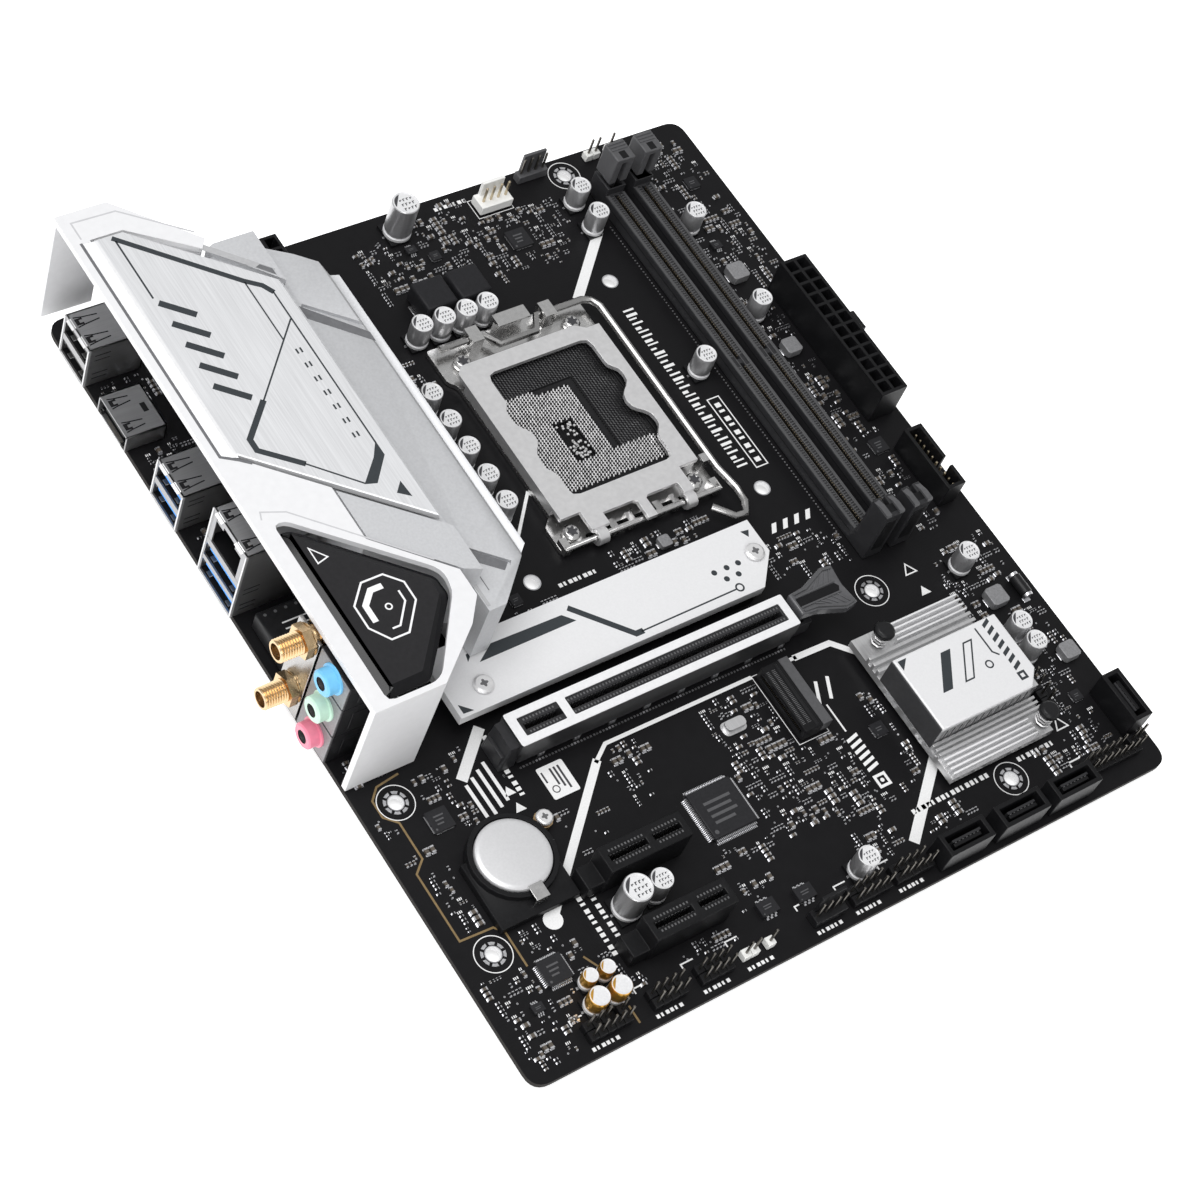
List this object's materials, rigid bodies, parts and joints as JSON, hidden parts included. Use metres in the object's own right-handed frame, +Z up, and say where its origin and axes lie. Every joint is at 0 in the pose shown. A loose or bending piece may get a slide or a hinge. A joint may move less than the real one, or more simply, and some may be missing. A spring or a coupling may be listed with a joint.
{
  "type": "computer motherboard",
  "caption": "Small desktop computer motherboard with processor socket, memory and expansion slots, rear ports under a shroud, and heatsinks.",
  "frame": {"origin": "centre of the bounding box, on the plane of the soldered tails and the backplate", "axes": "+X from the rear ports to the memory side, +Y towards the top edge where the processor power connector is, +Z up out of the component face"},
  "size_m": [0.2214, 0.2484, 0.0426],
  "materials": {
    "laminate": "black solder mask over glass laminate",
    "white_plastic": "satin white moulded plastic",
    "gloss_black": "high gloss black moulded plastic",
    "brushed_aluminium": "silver anodised, finely brushed",
    "zinc_steel": "nickel plated stamped steel",
    "port_shell": "tin plated sheet steel",
    "black_plastic": "matte black moulded connector plastic",
    "grey_plastic": "matte grey moulded plastic",
    "white_nylon": "white nylon header",
    "gold_plate": "gold plated brass",
    "cell_steel": "polished steel cell can",
    "choke_ferrite": "pressed powder coil body",
    "chip_epoxy": "moulded epoxy chip body"
  },
  "bodies": {
    "board": {"antenna_bracket": "zinc_steel", "antenna_jack_1": "gold_plate", "antenna_jack_2": "gold_plate", "audio_jack_block": "black_plastic", "battery_holder": "black_plastic", "chipset_cover": "brushed_aluminium", "chipset_heatsink": "brushed_aluminium", "chipset_package": "chip_epoxy", "coin_cell": "cell_steel", "cpu_fan_header": "white_nylon", "cpu_socket": "black_plastic", "expansion_slot_1": "black_plastic", "expansion_slot_2": "black_plastic", "graphics_slot": "black_plastic", "graphics_slot_armour": "zinc_steel", "heatsink_cover_plate": "brushed_aluminium", "input_choke_1": "choke_ferrite", "input_choke_2": "choke_ferrite", "io_shroud": "white_plastic", "lan_usb_stack": "port_shell", "m2_heatsink": "brushed_aluminium", "m2_heatsink_screw_1": "zinc_steel", "m2_heatsink_screw_2": "zinc_steel", "m2_slot_lower": "grey_plastic", "m2_slot_upper": "black_plastic", "m2_standoff": "gold_plate", "m2_standoff_screw": "zinc_steel", "memory_slot_a": "black_plastic", "memory_slot_b": "black_plastic", "monitor_chip": "chip_epoxy", "pcb": "laminate", "power_connector_24": "black_plastic", "power_connector_8": "black_plastic", "push_pin_1": "black_plastic", "push_pin_2": "black_plastic", "push_pin_spring_1": "zinc_steel", "push_pin_spring_2": "zinc_steel", "sata_port_1": "black_plastic", "sata_port_2": "black_plastic", "sata_port_3": "black_plastic", "sata_port_4": "black_plastic", "shroud_badge": "gloss_black", "socket_backplate": "zinc_steel", "socket_frame": "zinc_steel", "socket_screw_1": "zinc_steel", "socket_screw_2": "zinc_steel", "socket_screw_3": "zinc_steel", "socket_screw_4": "zinc_steel", "usb2_stack": "port_shell", "usb3_front_header": "black_plastic", "usb3_stack": "port_shell", "video_port": "port_shell", "vrm_heatsink": "brushed_aluminium", "wireless_module": "port_shell"},
    "load_lever": {"load_lever": "zinc_steel"},
    "load_plate": {"load_plate": "zinc_steel"},
    "memory_latch_a": {"memory_latch_a": "grey_plastic"},
    "memory_latch_b": {"memory_latch_b": "grey_plastic"},
    "graphics_latch": {"graphics_latch": "grey_plastic"}
  },
  "joints": [
    {"name": "load_lever_hinge", "type": "hinge", "parent": "board", "child": "load_lever", "pos_m": [0.01765, 0.06937, 0.009], "axis": [-1, 0, 0], "range_deg": [0, 115]},
    {"name": "load_plate_hinge", "type": "hinge", "parent": "board", "child": "load_plate", "pos_m": [0.01465, 0.00037, 0.0072], "axis": [1, 0, 0], "range_deg": [0, 95]},
    {"name": "memory_latch_a_hinge", "type": "hinge", "parent": "board", "child": "memory_latch_a", "pos_m": [0.07145, 0.10317, 0.008], "axis": [-1, 0, 0], "range_deg": [0, 30]},
    {"name": "memory_latch_b_hinge", "type": "hinge", "parent": "board", "child": "memory_latch_b", "pos_m": [0.08145, 0.10317, 0.008], "axis": [-1, 0, 0], "range_deg": [0, 30]},
    {"name": "graphics_latch_hinge", "type": "hinge", "parent": "board", "child": "graphics_latch", "pos_m": [0.03425, -0.04373, 0.0078], "axis": [0, 1, 0], "range_deg": [0, 18], "stiffness_Nm_per_rad": 0.004, "springref_deg": -2.86}
  ]
}
